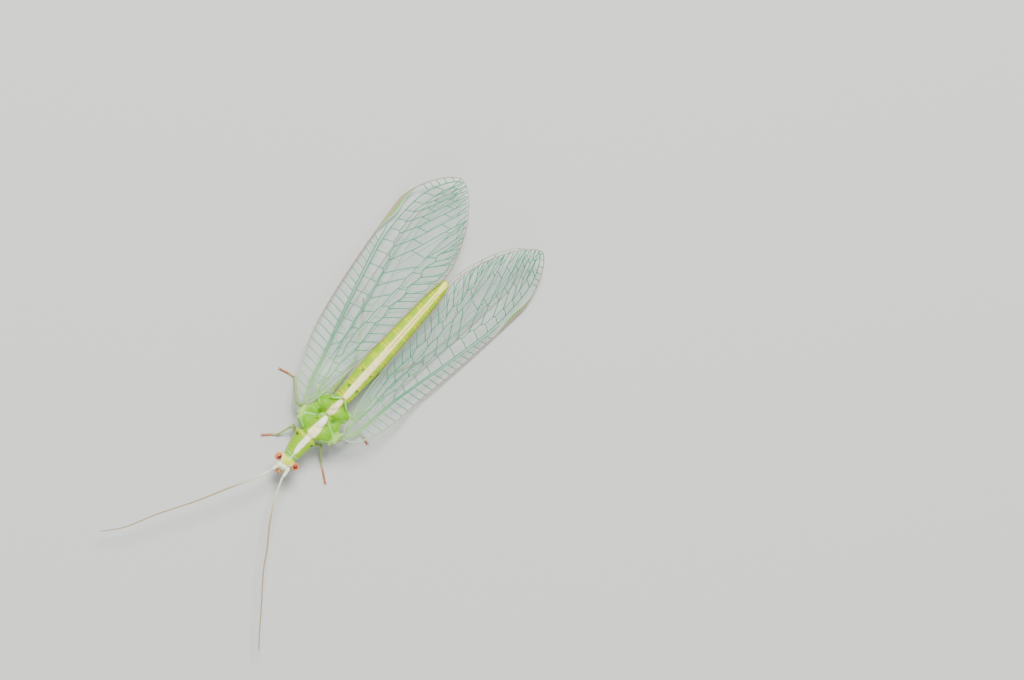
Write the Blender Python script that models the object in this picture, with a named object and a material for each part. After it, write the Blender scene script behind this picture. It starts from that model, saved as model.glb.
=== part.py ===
# A green lacewing at rest, life size, as a still display model.
# The insect faces -Y, its left side is +X and the floor is z = 0.
# Sizes below are in millimetres, and the meshes are made in metres.
import bpy
import bmesh
import math
from mathutils import Vector

MM = 0.001
# The animal's midline is set off so that the whole box is centred on the origin.
MIDLINE_X = -0.47
GAP = 0.27

# Body: where each piece starts and ends along y, and its half sizes
BODY_Z = 1.85
HEAD_Y = -3.64
HEAD_HALF_WIDTH = 0.46
HEAD_HALF_LENGTH = 0.47
HEAD_HALF_HEIGHT = 0.46
HEAD_ROUNDNESS = 2.4
HEAD_DROP = 0.06
HEAD_YAW = math.radians(8)
EYE_HALF_LENGTH = 0.25
EYE_HALF_HEIGHT = 0.28
EYE_START = 0.41
EYE_BULGE = 0.23
EYE_UP = 0.06
EYE_GAP = 0.19
EYE_SEAT_SHARE = 0.8
PROTHORAX = (-2.93, -2.02)
MESOTHORAX = (-1.76, -0.66)
METATHORAX = (-0.40, 0.22)
ABDOMEN = (0.48, 7.44)
ABDOMEN_HALF_WIDTH = 0.50
ABDOMEN_SEGMENTS = 9
ABDOMEN_CREASE = 0.94

# Rings of the mouthparts as (y from the head's centre, half width, half height, z)
SNOUT_RINGS = ((-0.20, 0.20, 0.14, 0.99), (-0.42, 0.22, 0.17, 1.07), (-0.62, 0.17, 0.15, 1.22))
# Both ends of a palp as (out, y from the head's centre, z), with their radii
PALP = ((0.10, -0.55, 1.15), (0.19, -1.00, 1.02))
PALP_RADII = (0.10, 0.08)

# Rings of the thorax as (share of the piece's length, half width, half height, rise)
PROTHORAX_RINGS = ((0, 0.42, 0.42, -0.02), (0.25, 0.46, 0.46, -0.01), (0.6, 0.52, 0.50, 0.0),
                   (1, 0.60, 0.52, 0.02))
MESOTHORAX_RINGS = ((0, 0.62, 0.54, 0.03), (0.2, 0.76, 0.62, 0.07), (0.5, 0.80, 0.66, 0.09),
                    (0.8, 0.80, 0.64, 0.09), (1, 0.72, 0.58, 0.07))
METATHORAX_RINGS = ((0, 0.66, 0.54, 0.04), (0.5, 0.62, 0.52, 0.02), (1, 0.52, 0.47, 0.01))

# Forewing: real size along its own curved surface
WING_LENGTH = 12.65
WING_THICK = 0.45
COSTAL_DEPTH = 1.89
HIND_DEPTH = 2.06
COSTAL_PEAK = 0.80
COSTAL_POWERS = (2.15, 1.45)
HIND_PEAK = 0.69
HIND_POWERS = (1.37, 1.60)
ROOT_Y = -1.02
ROOT_X = {"left": 1.22, "right": 1.27}
WING_YAW = {"left": math.radians(4.9), "right": math.radians(5.1)}
ROOT_Z = 2.05
BLADE_Z = 1.08
SLOPE = math.radians(29.5)
CAMBER = math.radians(6.5)
SLOPE_FULL_AT = 0.32
WING_CLEAR = 0.29
WING_CUT = 0.02
VEIN_HEIGHT = {"forewing": 0.11, "hindwing": 0.07}
VEIN_HALF_WIDTH = 0.13

# Hindwing: its place under the forewing's surface
HIND_LENGTH = 12.25
HIND_START = 0.85
HIND_UNDER = 0.33
HIND_COSTAL_DEPTH = 1.10
HIND_HIND_DEPTH = 1.82

# Legs: joints as (out from the midline, y, z)
LEG_RADIUS = 0.24
FOOT_RADIUS = (0.20, 0.15)
KNEE_GAPS = (0.20, 0.72)
ANKLE_GAP = 0.19
LEG_ROOM = 0.24
COXA_OUT = 0.26
COXA_Z = (1.7, 1.22)
COXA_RADII = (0.22, 0.20)
LEGS = {
    "front_left": [(0.30, -2.40, 0.68), (0.92, -2.03, 0.96), (1.58, -2.65, 0.40), (2.43, -3.29)],
    "front_right": [(0.30, -2.40, 0.68), (0.80, -2.06, 0.98), (0.85, -2.98, 0.40), (1.33, -3.45)],
    "middle_left": [(0.32, -1.22, 0.72), (1.38, -1.25, 1.12), (2.10, -0.45, 0.40), (2.65, -0.60)],
    "middle_right": [(0.32, -1.22, 0.72), (1.30, -1.25, 1.12), (2.04, -0.45, 0.40), (2.75, -0.65)],
    "hind_left": [(0.32, -0.10, 0.70), (0.76, 2.19, 0.66), (1.55, 3.20, 0.34), (1.99, 3.98)],
    "hind_right": [(0.32, -0.10, 0.70), (0.53, 2.06, 0.66), (1.40, 3.55, 0.34), (2.02, 4.35)],
}

# Antennae: (out from the midline, y, z) along each one, from face to tip
FEELER_RADIUS = (0.25, 0.25, 0.13)
FEELERS = {
    "right": [(0.36, -4.34, 2.00), (0.58, -4.95, 2.08), (1.24, -6.27, 2.15), (1.93, -7.64, 2.12),
              (2.84, -9.28, 1.93), (3.50, -10.70, 1.68), (4.18, -11.60, 1.50)],
    "left": [(0.40, -4.28, 2.00), (0.68, -5.03, 2.08), (1.28, -6.12, 2.15), (2.03, -7.16, 2.15),
             (2.67, -8.13, 2.08), (3.68, -9.37, 1.88), (4.46, -10.34, 1.70), (5.10, -11.10, 1.50)],
}
FEELER_CUTS = (0.06, 0.36, 0.68)

SIDES = {"left": 1.0, "right": -1.0}


def clear_scene():
    for obj in list(bpy.data.objects):
        bpy.data.objects.remove(obj, do_unlink=True)


def linear(hex_colour):
    parts = [int(hex_colour[i:i + 2], 16) / 255 for i in (0, 2, 4)]
    return [p / 12.92 if p <= 0.04045 else ((p + 0.055) / 1.055) ** 2.4 for p in parts]


def finish(name, colour, roughness, alpha=1.0):
    """A Principled material of one colour."""
    mat = bpy.data.materials.new(name)
    mat.use_nodes = True
    shader = mat.node_tree.nodes["Principled BSDF"]
    shader.inputs["Base Color"].default_value = (*linear(colour), 1.0)
    shader.inputs["Roughness"].default_value = roughness
    shader.inputs["Metallic"].default_value = 0.0
    shader.inputs["Alpha"].default_value = alpha
    return mat


def smoothstep(x):
    x = min(1.0, max(0.0, x))
    return x * x * (3 - 2 * x)


def along(values, t):
    """Reads a smooth curve through evenly spaced values at t from 0 to 1."""
    x = min(1.0, max(0.0, t)) * (len(values) - 1)
    i = min(int(x), len(values) - 2)
    b, c = values[i], values[i + 1]
    a = values[i - 1] if i else 2 * b - c
    d = values[i + 2] if i + 2 < len(values) else 2 * c - b
    return blend(a, b, c, d, x - i)


def blend(a, b, c, d, t):
    """The smooth curve between b and c that also heeds their neighbours a and d."""
    bend = 2 * a - 5 * b + 4 * c - d
    twist = 3 * b - a - 3 * c + d
    return 0.5 * (2 * b + (c - a) * t + bend * t ** 2 + twist * t ** 3)


def add_object(name, points, faces, material, smooth_angle=35):
    """A mesh object from points in millimetres, set off from the midline, with its normals outwards."""
    mesh = bpy.data.meshes.new(name)
    placed = [((x + MIDLINE_X) * MM, y * MM, z * MM) for x, y, z in points]
    mesh.from_pydata(placed, [], faces)
    shape = bmesh.new()
    shape.from_mesh(mesh)
    bmesh.ops.recalc_face_normals(shape, faces=shape.faces)
    shape.to_mesh(mesh)
    shape.free()
    mesh.shade_smooth()
    mesh.set_sharp_from_angle(angle=math.radians(smooth_angle))
    mesh.materials.append(material)
    obj = bpy.data.objects.new(name, mesh)
    bpy.context.scene.collection.objects.link(obj)
    return obj


def loft(name, rings, material, smooth_angle=35):
    """A closed solid through rings of equal count, each end capped by a fan about its middle."""
    count = len(rings[0])
    points = [p for ring in rings for p in ring]
    faces = []
    for r in range(len(rings) - 1):
        for i in range(count):
            j = (i + 1) % count
            a, b = r * count, (r + 1) * count
            faces += [(a + i, a + j, b + j), (a + i, b + j, b + i)]
    for ring, start in ((rings[0], 0), (rings[-1], (len(rings) - 1) * count)):
        points.append(tuple(sum(p[k] for p in ring) / count for k in range(3)))
        middle = len(points) - 1
        faces += [(start + i, start + (i + 1) % count, middle) for i in range(count)]
    return add_object(name, points, faces, material, smooth_angle)


def oval_ring(y, half_width, half_height, z, count=16):
    """A ring across the body at y."""
    ring = []
    for i in range(count):
        angle = 2 * math.pi * (i + 0.5) / count
        ring.append((half_width * math.cos(angle), y, z + half_height * math.sin(angle)))
    return ring


def tube(name, path, radii, material, sides=8):
    """A round tube along a path of points, with flat ends square to the path."""
    path = [Vector(p) for p in path]
    rings = []
    for i, point in enumerate(path):
        ahead = path[min(i + 1, len(path) - 1)] - path[max(i - 1, 0)]
        ahead.normalize()
        sideways = Vector((0, 0, 1)) if abs(ahead.z) < 0.99 else Vector((0, 1, 0))
        across = ahead.cross(sideways).normalized()
        up = across.cross(ahead).normalized()
        ring = []
        for k in range(sides):
            angle = 2 * math.pi * (k + 0.5) / sides
            ring.append(tuple(point + (across * math.cos(angle) + up * math.sin(angle)) * radii[i]))
        rings.append(ring)
    return loft(name, rings, material)


def fuse(base, others):
    """Joins the other solids to the base by one union and keeps the largest closed surface."""
    group = bpy.data.collections.new(base.name + "_pieces")
    for other in others:
        for owner in list(other.users_collection):
            owner.objects.unlink(other)
        group.objects.link(other)
    bpy.context.scene.collection.children.link(group)
    join = base.modifiers.new("union", "BOOLEAN")
    join.operation = "UNION"
    join.operand_type = "COLLECTION"
    join.collection = group
    join.solver = "EXACT"
    bpy.context.view_layer.update()
    with bpy.context.temp_override(object=base, active_object=base):
        bpy.ops.object.modifier_apply(modifier=join.name)
    for other in others:
        bpy.data.objects.remove(other, do_unlink=True)
    bpy.data.collections.remove(group)
    keep_largest(base)


def keep_largest(obj):
    shape = bmesh.new()
    shape.from_mesh(obj.data)
    left = set(shape.verts)
    islands = []
    while left:
        island, edge = set(), [left.pop()]
        while edge:
            vert = edge.pop()
            island.add(vert)
            for link in vert.link_edges:
                near = link.other_vert(vert)
                if near in left:
                    left.discard(near)
                    edge.append(near)
        islands.append(island)
    islands.sort(key=len)
    for island in islands[:-1]:
        bmesh.ops.delete(shape, geom=list(island), context="VERTS")
    shape.to_mesh(obj.data)
    shape.free()


def body_half_width(y):
    """How far the thorax or abdomen reaches out from the midline at y."""
    if y < PROTHORAX[1]:
        return 0.62
    if y < MESOTHORAX[1]:
        return 0.84
    if y < METATHORAX[1]:
        return 0.84 - 0.24 * smoothstep((y - MESOTHORAX[1]) / (METATHORAX[1] - MESOTHORAX[1]))
    if y > ABDOMEN[1]:
        return max(0.0, 0.30 - 0.4 * (y - ABDOMEN[1]))
    t = (y - ABDOMEN[0]) / (ABDOMEN[1] - ABDOMEN[0])
    return ABDOMEN_HALF_WIDTH * along((0.84, 0.90, 0.97, 1.0, 0.98, 0.92, 0.85, 0.76, 0.60), t)


def make_head(skin, eye, jaw):
    turn = Vector((math.sin(HEAD_YAW), -math.cos(HEAD_YAW)))

    def turned(x, y):
        """Turns a point about the head's centre."""
        across = Vector((math.cos(HEAD_YAW), math.sin(HEAD_YAW)))
        place = across * x - turn * y
        return place.x, HEAD_Y + place.y

    rings = []
    steps = 11
    for i in range(steps):
        t = -0.97 + 1.94 * i / (steps - 1)
        reach = quarter(t, HEAD_ROUNDNESS)
        ring = oval_ring(0, HEAD_HALF_WIDTH * reach, HEAD_HALF_HEIGHT * reach, 0)
        # The sides are flat where the eyes sit against them.
        seat = EYE_START - EYE_GAP
        if abs(t) < EYE_SEAT_SHARE:
            ring = [(max(-seat, min(seat, x)), y, z) for x, y, z in ring]
        rings.append([(*turned(x, -t * HEAD_HALF_LENGTH), BODY_Z - HEAD_DROP * t + z) for x, y, z in ring])
    loft("head", rings, skin, 60)
    for side, sign in SIDES.items():
        rings = []
        for rise in (0, 20, 41, 61, 82):
            lift = math.sin(math.radians(rise))
            reach = math.cos(math.radians(rise))
            ring = []
            for k in range(14):
                angle = 2 * math.pi * k / 14
                out = sign * (EYE_START + EYE_BULGE * lift)
                x, y = turned(out, EYE_HALF_LENGTH * reach * math.cos(angle))
                ring.append((x, y, BODY_Z + EYE_UP + EYE_HALF_HEIGHT * reach * math.sin(angle)))
            rings.append(ring)
        loft("eye_" + side, rings, eye, 60)
    snout = []
    for y, half_width, half_height, z in SNOUT_RINGS:
        ring = oval_ring(0, half_width, half_height, z, 12)
        snout.append([(*turned(x, y), height) for x, _, height in ring])
    mouth = loft("mouthparts", snout, jaw, 50)
    palps = []
    for sign in (-1, 1):
        path = [(*turned(sign * out, y), z) for out, y, z in PALP]
        palps.append(tube("palp", path, PALP_RADII, jaw, 6))
    fuse(mouth, palps)


def make_thorax(skin):
    for name, (start, end), rings, leg in (
            ("prothorax", PROTHORAX, PROTHORAX_RINGS, "front_left"),
            ("mesothorax", MESOTHORAX, MESOTHORAX_RINGS, "middle_left"),
            ("metathorax", METATHORAX, METATHORAX_RINGS, "hind_left")):
        ovals = []
        for share, half_width, half_height, rise in rings:
            y = start + (end - start) * share
            ovals.append(oval_ring(y, half_width, half_height, BODY_Z + rise))
        piece = loft(name, ovals, skin)
        fuse(piece, [coxa(sign, LEGS[leg][0][1], skin) for sign in (-1, 1)])


def coxa(sign, y, skin):
    """The short root joint of a leg, sunk into the underside of the thorax."""
    path = [(sign * COXA_OUT, y, COXA_Z[0]), (sign * COXA_OUT, y, COXA_Z[1])]
    return tube("coxa", path, COXA_RADII, skin)


def make_abdomen(skin):
    rings = []
    per_segment = 3
    steps = ABDOMEN_SEGMENTS * per_segment
    length = ABDOMEN[1] - ABDOMEN[0]
    for i in range(steps + 1):
        t = i / steps
        y = ABDOMEN[0] + length * t * 0.985
        half = body_half_width(y)
        crease = ABDOMEN_CREASE if i % per_segment == 0 and 0 < i < steps else 1.0
        rings.append(oval_ring(y, half * crease, half * 0.98 * crease, BODY_Z, 14))
    end = ABDOMEN[1]
    rings.append(oval_ring(end - 0.03, 0.20, 0.19, BODY_Z, 14))
    loft("abdomen", rings, skin)


def quarter(x, power):
    """The side of a rounded outline: 1 where x is 0 and 0 where x is 1."""
    return max(0.0, 1 - min(1.0, abs(x)) ** power) ** (1 / power)


def costal_depth(t):
    if t < COSTAL_PEAK:
        return quarter((COSTAL_PEAK - t) / COSTAL_PEAK, COSTAL_POWERS[0])
    return quarter((t - COSTAL_PEAK) / (1 - COSTAL_PEAK), COSTAL_POWERS[1])


def hind_depth(t):
    if t < HIND_PEAK:
        return quarter((HIND_PEAK - t) / HIND_PEAK, HIND_POWERS[0])
    return quarter((t - HIND_PEAK) / (1 - HIND_PEAK), HIND_POWERS[1])


def wing_point(side, u, w, lift):
    """A point at u along the wing's axis and w across it to the hind margin, lifted off the surface."""
    share = smoothstep(u / (SLOPE_FULL_AT * WING_LENGTH))
    mid_slope = (SLOPE - CAMBER * w / 2) * share
    slope = (SLOPE - CAMBER * w) * share
    inwards = w * math.cos(mid_slope) - lift * math.sin(slope)
    height = ROOT_Z + (BLADE_Z - ROOT_Z) * share + w * math.sin(mid_slope) + lift * math.cos(slope)
    yaw = WING_YAW[side]
    x = ROOT_X[side] + u * math.sin(yaw) - inwards * math.cos(yaw)
    y = ROOT_Y + u * math.cos(yaw) + inwards * math.sin(yaw)
    return SIDES[side] * x, y, height


def clear_of_body(side, u, depth, low, high):
    """The hind margin's depth, drawn back until it clears the body."""
    while depth > 0.1:
        edge = [wing_point(side, u, depth, lift) for lift in (low, high)]
        if all(abs(x) >= body_half_width(y) + WING_CLEAR - 0.10 * (z > 2.0) for x, y, z in edge):
            return depth
        depth -= 0.02
    return depth


def wing_rows(veins, t, depth):
    """Places across the wing from costa to hind margin as (share of the chord, how far raised)."""
    half = min(VEIN_HALF_WIDTH / depth, 0.045)
    rows = [(0.0, 0.6), (half, 0.0)]
    for vein in veins:
        middle = along(vein, t)
        rows += [(middle - half, 0.0), (middle, 1.0), (middle + half, 0.0)]
    rows += [(1 - half, 0.0), (1.0, 0.6)]
    return rows


def make_wing(name, side, starts, ends, columns, costal, hind, low, veins, material):
    """A curved blade with raised veins, both faces split into like triangles."""
    span = ends - starts
    high = low + WING_THICK
    upper, lower = [], []
    for i in range(columns):
        q = i / (columns - 1)
        t = WING_CUT + (1 - 1.2 * WING_CUT) * (0.9 * (0.5 - 0.5 * math.cos(math.pi * q)) + 0.1 * q)
        u = starts + span * t
        front = costal * costal_depth(t)
        back = clear_of_body(side, u, hind * hind_depth(t), low, high)
        rows = wing_rows(veins, t, front + back)
        top, bottom = [], []
        for share, raised in rows:
            w = -front + share * (front + back)
            ridge = VEIN_HEIGHT[name.split("_")[0]] * raised
            top.append(wing_point(side, u, w, high + ridge))
            x, y, z = wing_point(side, u, w, low)
            bottom.append((x, y, max(0.0, z)))
        upper.append(top)
        lower.append(bottom)
    across = len(upper[0])
    points = [p for column in upper for p in column] + [p for column in lower for p in column]
    under = columns * across
    faces = []
    for i in range(columns - 1):
        for j in range(across - 1):
            a, b = i * across + j, (i + 1) * across + j
            faces += [(a, a + 1, b + 1), (a, b + 1, b)]
            faces += [(under + a, under + b + 1, under + a + 1), (under + a, under + b, under + b + 1)]
    rim = list(range(across))
    rim += [i * across + across - 1 for i in range(1, columns)]
    rim += [(columns - 1) * across + j for j in range(across - 2, -1, -1)]
    rim += [i * across for i in range(columns - 2, 0, -1)]
    for k, a in enumerate(rim):
        b = rim[(k + 1) % len(rim)]
        faces += [(a, under + a, under + b), (a, under + b, b)]
    return add_object(name, points, faces, material, 30)


def make_wings(membrane):
    fore_veins = (
        (0.36, 0.34, 0.20, 0.11, 0.13, 0.20),
        (0.50, 0.46, 0.42, 0.28, 0.26, 0.36),
        (0.64, 0.60, 0.57, 0.54, 0.50, 0.52),
        (0.80, 0.76, 0.74, 0.74, 0.72, 0.70),
    )
    hind_veins = (
        (0.22, 0.20, 0.16, 0.13, 0.14, 0.20),
        (0.52, 0.48, 0.44, 0.40, 0.38, 0.42),
        (0.78, 0.76, 0.74, 0.72, 0.70, 0.70),
    )
    for side in SIDES:
        make_wing("forewing_" + side, side, 0.0, WING_LENGTH, 30, COSTAL_DEPTH, HIND_DEPTH,
                  0.0, fore_veins, membrane)
        hindwing = make_wing("hindwing_" + side, side, HIND_START, HIND_LENGTH, 24, HIND_COSTAL_DEPTH,
                             HIND_HIND_DEPTH, -HIND_UNDER - WING_THICK, hind_veins, membrane)
        leave_room(hindwing, side)


def leg_pieces(name):
    """Femur, tibia and tarsus of one leg, each as (path, radii), parted at the knee and ankle."""
    sign = SIDES[name.split("_")[1]]
    joints = LEGS[name]
    hip, knee, ankle = [Vector((sign * x, y, z)) for x, y, z in joints[:3]]
    toe = Vector((sign * joints[3][0], joints[3][1], 0))
    thigh = (knee - hip).normalized()
    shin = (ankle - knee).normalized()
    # The more the knee is folded, the wider its gap.
    fold = (1 - thigh.dot(shin)) / 2
    top = knee + shin * (KNEE_GAPS[0] + (KNEE_GAPS[1] - KNEE_GAPS[0]) * fold)
    low = ankle - shin * ANKLE_GAP
    # The foot lies flat: with eight sides its lowest face is level at z = 0.
    flat = math.cos(math.pi / 8)
    start = Vector((ankle.x, ankle.y, 0))
    start += (toe - start).normalized() * ANKLE_GAP
    r0, r1 = FOOT_RADIUS
    heel, claw = start + Vector((0, 0, r0 * flat)), toe + Vector((0, 0, r1 * flat))
    return {
        "femur": ([hip, (hip + knee) / 2, knee - thigh * 0.14], [0.20, LEG_RADIUS, 0.15]),
        "tibia": ([top, top.lerp(low, 0.3), low], [0.15, 0.21, 0.18]),
        "tarsus": ([heel, claw], [r0, r1]),
    }


def make_leg(name, skin, foot_skin):
    for piece, (path, radii) in leg_pieces(name).items():
        tube(f"leg_{name}_{piece}", path, radii, foot_skin if piece == "tarsus" else skin)


def leave_room(wing, side):
    """Cuts the hindwing clear of the hind leg that lies under it."""
    for path, radii in leg_pieces("hind_" + side).values():
        ahead = (path[-1] - path[0]).normalized() * LEG_ROOM
        longer = [path[0] - ahead, *path[1:-1], path[-1] + ahead]
        room = tube("room", longer, [r + LEG_ROOM for r in radii], wing.data.materials[0])
        room.hide_render = True
        room.display_type = "WIRE"
        cut = wing.modifiers.new("room", "BOOLEAN")
        cut.operation = "DIFFERENCE"
        cut.object = room
        cut.solver = "EXACT"
        bpy.context.view_layer.update()
        with bpy.context.temp_override(object=wing, active_object=wing):
            bpy.ops.object.modifier_apply(modifier=cut.name)
        bpy.data.objects.remove(room, do_unlink=True)
    keep_largest(wing)


def smooth_path(points, steps):
    """Points read evenly from a smooth curve through the given ones."""
    points = [Vector(p) for p in points]
    points = [points[0] * 2 - points[1]] + points + [points[-1] * 2 - points[-2]]
    fine = []
    for i in range(1, len(points) - 2):
        a, b, c, d = points[i - 1:i + 3]
        for k in range(12):
            fine.append(blend(a, b, c, d, k / 12))
    fine.append(points[-2])
    lengths = [0.0]
    for a, b in zip(fine, fine[1:]):
        lengths.append(lengths[-1] + (b - a).length)
    path = []
    for k in range(steps + 1):
        goal = lengths[-1] * k / steps
        i = max(j for j in range(len(lengths)) if lengths[j] <= goal + 1e-9)
        i = min(i, len(fine) - 2)
        share = (goal - lengths[i]) / max(1e-9, lengths[i + 1] - lengths[i])
        path.append(fine[i].lerp(fine[i + 1], share))
    return path, lengths[-1]


def make_feeler(side, skin):
    """One antenna in four lengths: the scape and three stretches of the thread."""
    sign = SIDES[side]
    path, length = smooth_path([(sign * x, y, z) for x, y, z in FEELERS[side]], 60)
    cuts = [0, *FEELER_CUTS, 1]
    names = ("scape", "lower", "middle", "tip")
    for k, part in enumerate(names):
        first = cuts[k] + (GAP / length if k else 0)
        stretch = [path[round(60 * (first + (cuts[k + 1] - first) * i / 6))] for i in range(7)]
        kept = [p for i, p in enumerate(stretch) if i == 0 or (p - stretch[i - 1]).length > 1e-6]
        shares = [first + (cuts[k + 1] - first) * i / (len(kept) - 1) for i in range(len(kept))]
        radii = [along(FEELER_RADIUS, s) for s in shares]
        tube(f"antenna_{side}_{part}", kept, radii, skin)


def main():
    clear_scene()
    green = finish("body cuticle", "A9C24A", 0.45)
    pale = finish("leg cuticle", "B9C97A", 0.45)
    brown = finish("tarsus cuticle", "8C5A3C", 0.5)
    copper = finish("compound eye", "B4581F", 0.2)
    jaw = finish("mouthpart cuticle", "A8622E", 0.5)
    cream = finish("antenna cuticle", "C9BE93", 0.5)
    clear = finish("wing membrane", "DDE8DF", 0.15, 0.4)
    make_head(green, copper, jaw)
    make_thorax(green)
    make_abdomen(green)
    make_wings(clear)
    for name in LEGS:
        make_leg(name, pale, brown)
    for side in SIDES:
        make_feeler(side, cream)


main()
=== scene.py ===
import math

import bpy
from mathutils import Matrix, Vector


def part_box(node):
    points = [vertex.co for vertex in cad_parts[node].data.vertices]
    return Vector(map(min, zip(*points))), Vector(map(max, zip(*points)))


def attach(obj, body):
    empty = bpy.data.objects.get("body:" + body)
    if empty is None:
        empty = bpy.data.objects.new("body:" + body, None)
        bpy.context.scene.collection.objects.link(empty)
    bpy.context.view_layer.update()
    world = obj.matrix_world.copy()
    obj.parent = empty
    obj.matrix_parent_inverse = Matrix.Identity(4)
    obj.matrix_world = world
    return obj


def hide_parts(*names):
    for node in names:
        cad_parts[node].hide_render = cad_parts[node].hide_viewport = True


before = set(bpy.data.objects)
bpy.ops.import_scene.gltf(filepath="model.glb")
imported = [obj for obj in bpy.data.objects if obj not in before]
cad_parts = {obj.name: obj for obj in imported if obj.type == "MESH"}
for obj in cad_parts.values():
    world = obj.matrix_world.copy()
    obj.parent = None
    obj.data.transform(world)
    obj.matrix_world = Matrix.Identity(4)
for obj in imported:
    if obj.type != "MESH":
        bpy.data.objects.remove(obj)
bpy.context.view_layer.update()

MM = 0.001
SIDES = {"left": 1.0, "right": -1.0}

# The abdomen's box gives the body's midline and its height over the floor.
ABDOMEN_LOW, ABDOMEN_HIGH = [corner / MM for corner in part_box("abdomen")]
MIDLINE_X = (ABDOMEN_LOW.x + ABDOMEN_HIGH.x) / 2
BODY_Z = (ABDOMEN_LOW.z + ABDOMEN_HIGH.z) / 2

# Body, in mm from the midline: the head's centre, and how far it is turned to the insect's left
HEAD_X = 0.035
HEAD_Y = -3.54
HEAD_YAW = math.radians(8)
EYE_OUT = 0.46
EYE_UP = 0.06
EYE_HALF = (0.185, 0.20, 0.235)
# How far the thorax lies aside of the midline, and how far its markings lie behind their drawn places
THORAX_X = -0.05
THORAX_Y = 0.06
# The pronotum's rings from the neck back as (y, radius)
PRONOTUM_RINGS = ((-3.30, 0.28), (-3.18, 0.36), (-3.02, 0.41), (-2.7, 0.46), (-2.4, 0.52),
                  (-2.2, 0.56), (-2.08, 0.57), (-2.0, 0.50))
# Small plates round the wing hinges as (y, out from the midline, half size)
HINGE_PLATES = ((-1.62, 0.96, 0.09), (-1.40, 1.10, 0.10), (-1.14, 1.04, 0.09), (-0.98, 0.88, 0.10),
                (-0.84, 0.70, 0.08), (-0.62, 0.72, 0.09), (-0.44, 0.84, 0.08), (-0.10, 0.90, 0.09))
# Pale ridges painted on one side of the back, each from one (x, y) to another
PALE_RIDGES = (((0.08, -0.80), (0.45, -1.08)), ((0.45, -1.08), (0.92, -1.34)),
               ((0.12, 0.28), (0.45, 0.06)), ((0.45, 0.06), (0.86, -0.10)),
               ((0.50, -1.86), (0.86, -1.66)), ((0.86, -1.66), (1.08, -1.30)),
               ((0.62, -0.58), (0.92, -0.34)), ((0.56, -1.95), (0.40, -2.02)),
               ((0.42, -3.30), (0.02, -3.36)), ((0.42, -3.16), (0.12, -3.20)))
# Half the width of the pale stripe along the back as (y, width)
STRIPE_WIDTHS = ((-3.15, 0.02), (-2.95, 0.10), (-2.6, 0.14), (-2.15, 0.14), (-2.02, 0.15),
                 (-1.86, 0.25), (-1.5, 0.24), (-1.3, 0.18), (-1.05, 0.18), (-0.85, 0.10),
                 (-0.76, 0.03), (-0.66, 0.17), (-0.4, 0.19), (0.0, 0.15), (0.24, 0.08), (0.3, 0.05),
                 (0.5, 0.14), (1.2, 0.17), (3.0, 0.16), (4.5, 0.14), (6.0, 0.12), (7.0, 0.10),
                 (7.5, 0.16))
# The stretch of the thorax that leans aside, above the hips
THORAX = (-2.2, 0.6)
COXA_TOP = 1.3
# Legs take their own colour below this height and outside this reach
LEG_TOP = 1.25
LEG_OUT = 1.25
# The abdomen from waist to tip, and its half widths evenly spaced along it
ABDOMEN = (0.48, 7.44)
ABDOMEN_WIDTHS = (0.42, 0.45, 0.485, 0.50, 0.49, 0.46, 0.425, 0.38, 0.27)
ABDOMEN_SEGMENTS = 9
SKIN_VOXEL = 0.028

# Wings, in mm along their own curved surface: outline, root, turn away from the midline and slope
WING_LENGTH = 12.65
COSTAL_DEPTH = 1.89
HIND_DEPTH = 2.06
COSTAL_PEAK = 0.80
COSTAL_POWERS = (2.15, 1.45)
HIND_PEAK = 0.69
HIND_POWERS = (1.37, 1.60)
ROOT_Y = -1.02
ROOT_X = {"left": 1.22, "right": 1.27}
WING_YAW = {"left": math.radians(4.9), "right": math.radians(5.1)}
ROOT_Z = 2.05
BLADE_Z = 1.08
SLOPE = math.radians(29.5)
CAMBER = math.radians(6.5)
SLOPE_FULL_AT = 0.32
# How far the wing films lie over the blade's own surface, at the root and beyond it
FORE_LIFTS = (0.22, 0.42)
HIND_LIFTS = (-0.42, -0.36)
HIND_START = 0.85
HIND_LENGTH = 12.25
HIND_FRONT_SHARE = 0.58
HIND_BACK_SHARE = 0.88
MEMBRANE = 0.012

# Legs: hip, knee, ankle and toe as (out from the midline, y, z)
LEGS = {
    "front_left": [(0.30, -2.40, 0.68), (0.92, -2.03, 0.96), (1.58, -2.65, 0.16), (2.43, -3.29, 0.05)],
    "front_right": [(0.30, -2.40, 0.68), (0.70, -2.16, 0.96), (0.82, -3.02, 0.16), (1.29, -3.50, 0.05)],
    "middle_left": [(0.32, -1.22, 0.72), (1.38, -1.25, 1.12), (2.10, -0.45, 0.16), (2.65, -0.60, 0.05)],
    "middle_right": [(0.32, -1.22, 0.72), (1.30, -1.25, 1.12), (2.04, -0.45, 0.16), (2.75, -0.65, 0.05)],
    "hind_left": [(0.32, -0.10, 0.70), (0.76, 2.19, 0.66), (1.55, 3.20, 0.16), (1.99, 3.98, 0.05)],
    "hind_right": [(0.32, -0.10, 0.70), (0.53, 2.06, 0.66), (1.40, 3.55, 0.16), (2.02, 4.35, 0.05)],
}

# Antennae: points along the thread as (out from the midline, y, z)
FEELERS = {
    "right": [(0.30, -4.36, 2.04), (0.54, -4.95, 2.08), (1.24, -6.27, 2.15), (1.93, -7.64, 2.12),
              (2.84, -9.28, 1.93), (3.50, -10.70, 1.68), (4.18, -11.60, 1.50)],
    "left": [(0.38, -4.30, 2.04), (0.67, -5.00, 2.08), (1.28, -6.12, 2.15), (2.03, -7.16, 2.15),
             (2.67, -8.13, 2.08), (3.68, -9.37, 1.88), (4.46, -10.34, 1.70), (5.10, -11.10, 1.50)],
}

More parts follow.
